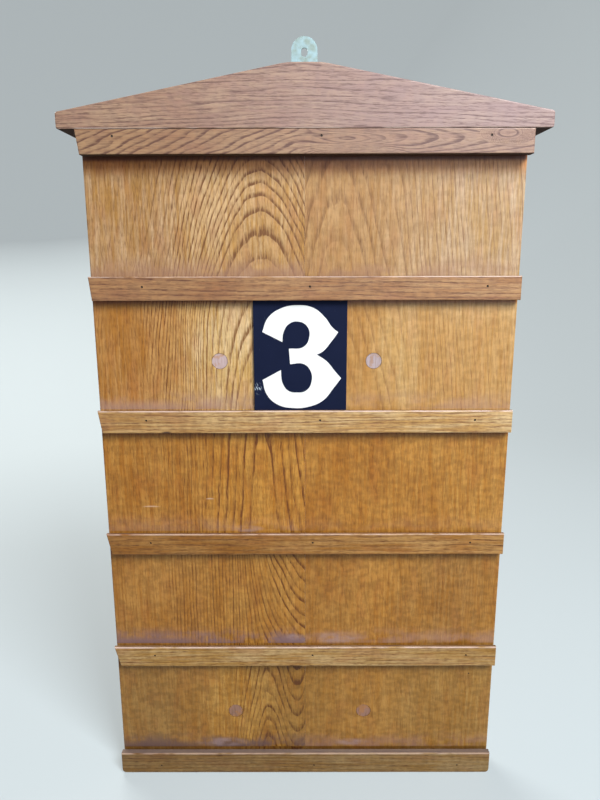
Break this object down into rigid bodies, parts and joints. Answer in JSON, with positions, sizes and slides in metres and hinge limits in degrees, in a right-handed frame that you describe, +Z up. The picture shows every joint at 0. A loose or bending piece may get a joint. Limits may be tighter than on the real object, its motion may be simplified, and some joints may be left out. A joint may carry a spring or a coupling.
{
  "type": "hymn board",
  "caption": "Wall-hung oak hymn board with a gabled pediment, grooved rails in rows for sliding number cards, rear battens and a brass hanger plate.",
  "frame": {"origin": "middle of the hanger plate's slot, on the wall plane", "axes": "+X to the right of someone facing the board, +Y towards the wall (the front faces -Y), +Z up"},
  "size_m": [0.37, 0.0425, 0.6398],
  "materials": {
    "oak_board": "varnished honey oak, grain upright",
    "oak_rail": "varnished oak, grain along the length",
    "oak_pediment": "varnished oak, grain along the length",
    "pellet": "plain wood plug, dull",
    "batten_wood": "unvarnished softwood",
    "steel": "dulled steel",
    "brass": "pale worn brass",
    "card": "matt near-black paint on stiff card"
  },
  "bodies": {
    "board": {"back_board_left": "oak_board", "back_board_right": "oak_board", "batten_upper": "batten_wood", "batten_lower": "batten_wood", "batten_screw_upper_left": "steel", "batten_screw_upper_right": "steel", "batten_screw_lower_left": "steel", "batten_screw_lower_right": "steel", "pellet_upper_left": "pellet", "pellet_upper_right": "pellet", "pellet_lower_left": "pellet", "pellet_lower_right": "pellet", "pediment": "oak_pediment", "pediment_dowel_1": "batten_wood", "pediment_dowel_2": "batten_wood", "pediment_dowel_3": "batten_wood", "pediment_dowel_4": "batten_wood", "cornice_face": "oak_rail", "cornice_spacer": "oak_rail", "cornice_pin_left": "steel", "cornice_pin_middle": "steel", "cornice_pin_right": "steel", "rail_1_face": "oak_rail", "rail_1_spacer": "oak_rail", "rail_1_pin_left": "steel", "rail_1_pin_middle": "steel", "rail_1_pin_right": "steel", "rail_2_face": "oak_rail", "rail_2_spacer": "oak_rail", "rail_2_pin_left": "steel", "rail_2_pin_middle": "steel", "rail_2_pin_right": "steel", "rail_3_face": "oak_rail", "rail_3_spacer": "oak_rail", "rail_3_pin_left": "steel", "rail_3_pin_middle": "steel", "rail_3_pin_right": "steel", "rail_4_face": "oak_rail", "rail_4_spacer": "oak_rail", "rail_4_pin_left": "steel", "rail_4_pin_middle": "steel", "rail_4_pin_right": "steel", "rail_5_face": "oak_rail", "rail_5_spacer": "oak_rail", "rail_5_pin_left": "steel", "rail_5_pin_middle": "steel", "rail_5_pin_right": "steel", "hanger_plate": "brass", "hanger_screw_left": "brass", "hanger_screw_right": "brass"},
    "card": {"number_card": "card"}
  },
  "joints": [
    {"name": "card_slide", "type": "slide", "parent": "board", "child": "card", "axis": [1, 0, 0], "range_m": [-0.1295, 0.137]}
  ]
}
